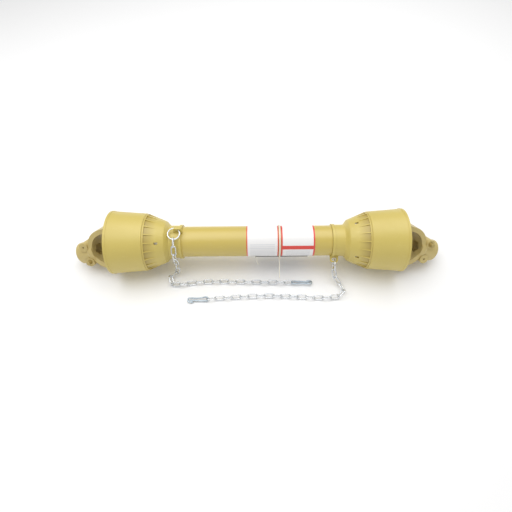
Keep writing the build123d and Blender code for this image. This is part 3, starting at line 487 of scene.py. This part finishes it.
for size, place in ((SMALL_HEAD_SIZE, head_at), (tail_size, tail_at)):
    bpy.ops.object.select_all(action="DESELECT")
    bpy.ops.mesh.primitive_cube_add(size=1, location=place, rotation=tail_turn, scale=size)
    bpy.ops.object.transform_apply(location=True, rotation=True, scale=True)
    tie_parts.append(bpy.context.active_object)
for part in tie_parts:
    part.select_set(True)
bpy.ops.object.join()
small_tie = bpy.context.active_object
small_tie.name = "small_tie"
edge_round = small_tie.modifiers.new("edge round", "BEVEL")
edge_round.width = SMALL_TIE_EDGE
edge_round.segments = 2
bpy.ops.object.modifier_apply(modifier=edge_round.name)
small_tie.data.materials.append(tie_nylon)
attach(small_tie, "guard_a")

# Safety chains: a row of welded links of bright zinc-plated wire. Each link is a round
# wire ring drawn out straight at both sides, and lies where its solid lies.
CHAIN_BRIGHT = (0.80, 0.82, 0.84, 1)
CHAIN_DULL = (0.62, 0.65, 0.68, 1)
LINK_WIRE_R = 0.0017
LINK_BOW_R = 0.0058
LINK_STRAIGHT = 0.0147
SAME_POINT_DIGITS = 6


def zinc_material(name, bright, dull, roughness):
    material, tree, shader = new_material(name)
    marks = add_group(tree, handling_marks, Patch_Scale=60.0, Scuff_Scale=200.0)
    grain = add_group(tree, moulded_grain, Scale=1600.0, Ripple=0.5)
    base = mixed_colour(tree, marks.outputs["Patches"], bright, dull)
    tree.links.new(base, shader.inputs["Base Color"])
    rough = scaled(tree, marks.outputs["Patches"], factor=0.18, offset=roughness)
    tree.links.new(rough, shader.inputs["Roughness"])
    shader.inputs["Metallic"].default_value = 0.9
    bumped(tree, shader, grain.outputs["Height"], strength=0.1, distance=0.0002)
    return material


chain_zinc = zinc_material("chain zinc", CHAIN_BRIGHT, CHAIN_DULL, roughness=0.22)
for half in HALVES:
    for name in ("chain_ring_", "chain_drop_", "chain_run_"):
        finish_node(name + half, chain_zinc)


def loose_parts(node):
    """Points of each of a node's separate solids, in the object's frame."""
    data = node.data
    count = len(data.vertices)
    flat = np.empty(3 * count)
    data.vertices.foreach_get("co", flat)
    points = flat.reshape(-1, 3)
    seen = {}
    root = list(range(count))

    def find(i):
        while root[i] != i:
            root[i] = root[root[i]]
            i = root[i]
        return i

    for i, point in enumerate(np.round(points, SAME_POINT_DIGITS)):
        first = seen.setdefault(tuple(point), i)
        root[find(i)] = find(first)
    for edge in data.edges:
        i, j = (find(v) for v in edge.vertices)
        root[i] = j
    groups = {}
    for i in range(count):
        groups.setdefault(find(i), []).append(i)
    place = np.array(node.matrix_world)
    return [points[members] @ place[:3, :3].T + place[:3, 3] for members in groups.values()]


def lie_of(points):
    """Placing matrix of a flat loop: X along it, Y across it and Z square to it."""
    unique = np.unique(np.round(points, SAME_POINT_DIGITS), axis=0)
    centre = unique.mean(axis=0)
    vectors = np.linalg.eigh(np.cov((unique - centre).T))[1]
    along, across = Vector(vectors[:, 2]), Vector(vectors[:, 1])
    square = along.cross(across)
    rows = Matrix((along, across, square)).transposed().to_4x4()
    rows.translation = Vector(centre)
    return rows


def copied_to(pattern, name, places):
    """One object holding a copy of the pattern at each place."""
    copies = []
    for place in places:
        piece = pattern.copy()
        piece.data = pattern.data.copy()
        piece.data.transform(place)
        bpy.context.scene.collection.objects.link(piece)
        copies.append(piece)
    bpy.ops.object.select_all(action="DESELECT")
    for piece in copies:
        piece.select_set(True)
    bpy.context.view_layer.objects.active = copies[0]
    if len(copies) > 1:
        bpy.ops.object.join()
    joined = bpy.context.active_object
    joined.name = name
    return joined


bpy.ops.object.select_all(action="DESELECT")
bpy.ops.mesh.primitive_torus_add(
    major_radius=LINK_BOW_R, minor_radius=LINK_WIRE_R, major_segments=22, minor_segments=10
)
link_pattern = bpy.context.active_object
for side in (-1, 1):
    bpy.ops.object.mode_set(mode="EDIT")
    bpy.ops.mesh.select_mode(type="VERT")
    bpy.ops.mesh.select_all(action="DESELECT")
    bpy.ops.object.mode_set(mode="OBJECT")
    for vertex in link_pattern.data.vertices:
        vertex.select = vertex.co.x * side > 0
    bpy.ops.object.mode_set(mode="EDIT")
    bpy.ops.transform.translate(value=(side * LINK_STRAIGHT / 2, 0, 0))
bpy.ops.object.mode_set(mode="OBJECT")
bpy.ops.object.select_all(action="DESELECT")
link_pattern.select_set(True)
bpy.ops.object.shade_smooth()
link_pattern.data.materials.append(chain_zinc)
for half in HALVES:
    for part_name in ("drop", "run"):
        node = "chain_" + part_name + "_" + half
        places = [lie_of(points) for points in loose_parts(cad[node])]
        links = copied_to(link_pattern, "links_" + part_name + "_" + half, places)
        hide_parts(node)
        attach(links, part_name + "_body_" + half)
bpy.data.objects.remove(link_pattern)

# Eyelet rings: a closed ring of thicker zinc-plated wire hangs in each cone's eyelet and
# carries the chain.
RING_WIRE_R = 0.0019
RING_R = 0.0156
for half in HALVES:
    bpy.ops.object.select_all(action="DESELECT")
    bpy.ops.mesh.primitive_torus_add(
        major_radius=RING_R, minor_radius=RING_WIRE_R, major_segments=64, minor_segments=16
    )
    ring = bpy.context.active_object
    ring.name = "eyelet_ring_" + half
    ring.data.transform(lie_of(loose_parts(cad["chain_ring_" + half])[0]))
    bpy.ops.object.shade_smooth()
    ring.data.materials.append(chain_zinc)
    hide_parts("chain_ring_" + half)
    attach(ring, "ring_body_" + half)

# Hooks: each is one length of bent wire with its end left open, round in section, and a
# little bluer and duller than the chain where the plating is thick.
HOOK_BRIGHT = (0.55, 0.62, 0.68, 1)
HOOK_DULL = (0.36, 0.44, 0.50, 1)
HOOK_MERGE_DISTANCE = 0.00002
HOOK_ROUNDING_LEVELS = 2
hook_zinc = zinc_material("hook zinc", HOOK_BRIGHT, HOOK_DULL, roughness=0.28)
for half in HALVES:
    finish_node("hook_" + half, hook_zinc)
    bpy.ops.object.select_all(action="DESELECT")
    wire_hook = bpy.data.objects.new("wire_hook_" + half, cad["hook_" + half].data.copy())
    bpy.context.scene.collection.objects.link(wire_hook)
    wire_hook.select_set(True)
    bpy.context.view_layer.objects.active = wire_hook
    bpy.ops.object.mode_set(mode="EDIT")
    bpy.ops.mesh.select_all(action="SELECT")
    bpy.ops.mesh.remove_doubles(threshold=HOOK_MERGE_DISTANCE)
    bpy.ops.mesh.tris_convert_to_quads()
    bpy.ops.mesh.normals_make_consistent(inside=False)
    bpy.ops.object.mode_set(mode="OBJECT")
    rounding = wire_hook.modifiers.new("rounding", "SUBSURF")
    rounding.levels = HOOK_ROUNDING_LEVELS
    rounding.render_levels = HOOK_ROUNDING_LEVELS
    bpy.ops.object.modifier_apply(modifier=rounding.name)
    bpy.ops.object.shade_smooth()
    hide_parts("hook_" + half)
    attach(wire_hook, "hook_body_" + half)

# Setting: a white paper floor with soft light from above and in front, and the camera
# high in front of the shaft, as for a catalogue picture.
FLOOR_DROP = 0.0004
PAPER_WHITE = (0.96, 0.96, 0.96, 1)
ROOM_WHITE = (1, 1, 1, 1)
ROOM_STRENGTH = 0.48
CAMERA_DISTANCE = 1.1
CAMERA_ELEVATION = math.radians(57)
CAMERA_ROLL = math.radians(-0.5)
FOCAL = 28.4
SENSOR_WIDTH = 36
PICTURE_POINTS = 512
SHIFT_ACROSS = -1
SHIFT_UP = -15
floor_z = cad_box[0][2]
bpy.ops.mesh.primitive_plane_add(size=8, location=(0, 0, floor_z - FLOOR_DROP))
floor = bpy.context.active_object
floor.name = "paper_floor"
paper, paper_tree, paper_shader = new_material("floor paper")
paper_shader.inputs["Base Color"].default_value = PAPER_WHITE
paper_shader.inputs["Roughness"].default_value = 0.8
floor.data.materials.append(paper)

world = bpy.data.worlds.new("studio")
bpy.context.scene.world = world
world.use_nodes = True
room = world.node_tree.nodes["Background"]
room.inputs["Color"].default_value = ROOM_WHITE
room.inputs["Strength"].default_value = ROOM_STRENGTH


def soft_light(name, place, target, size, energy):
    data = bpy.data.lights.new(name, "AREA")
    data.shape = "RECTANGLE"
    data.size = size[0]
    data.size_y = size[1]
    data.energy = energy
    lamp = bpy.data.objects.new(name, data)
    bpy.context.scene.collection.objects.link(lamp)
    lamp.location = place
    to_target = Vector(target) - Vector(place)
    lamp.rotation_euler = to_target.to_track_quat("-Z", "Y").to_euler()


soft_light(
    "overhead", place=(-0.2, 0.5, 1.9), target=(0, AXIS_Y, 0.05), size=(3.4, 2.0), energy=45
)
soft_light(
    "front", place=(0.4, -1.9, 1.0), target=(0, AXIS_Y, 0.08), size=(2.4, 1.2), energy=4
)

bpy.context.scene.view_settings.view_transform = "Standard"
camera_data = bpy.data.cameras.new("catalogue_camera")
camera_data.lens = FOCAL
camera_data.sensor_width = SENSOR_WIDTH
camera_data.shift_x = SHIFT_ACROSS / PICTURE_POINTS
camera_data.shift_y = SHIFT_UP / PICTURE_POINTS
camera = bpy.data.objects.new("catalogue_camera", camera_data)
bpy.context.scene.collection.objects.link(camera)
back = CAMERA_DISTANCE * math.cos(CAMERA_ELEVATION)
up = CAMERA_DISTANCE * math.sin(CAMERA_ELEVATION)
camera.location = (0, AXIS_Y - back, AXIS_Z + up)
camera.rotation_euler = (math.pi / 2 - CAMERA_ELEVATION, 0, 0)
camera.rotation_euler.rotate_axis("Z", CAMERA_ROLL)
bpy.context.scene.camera = camera
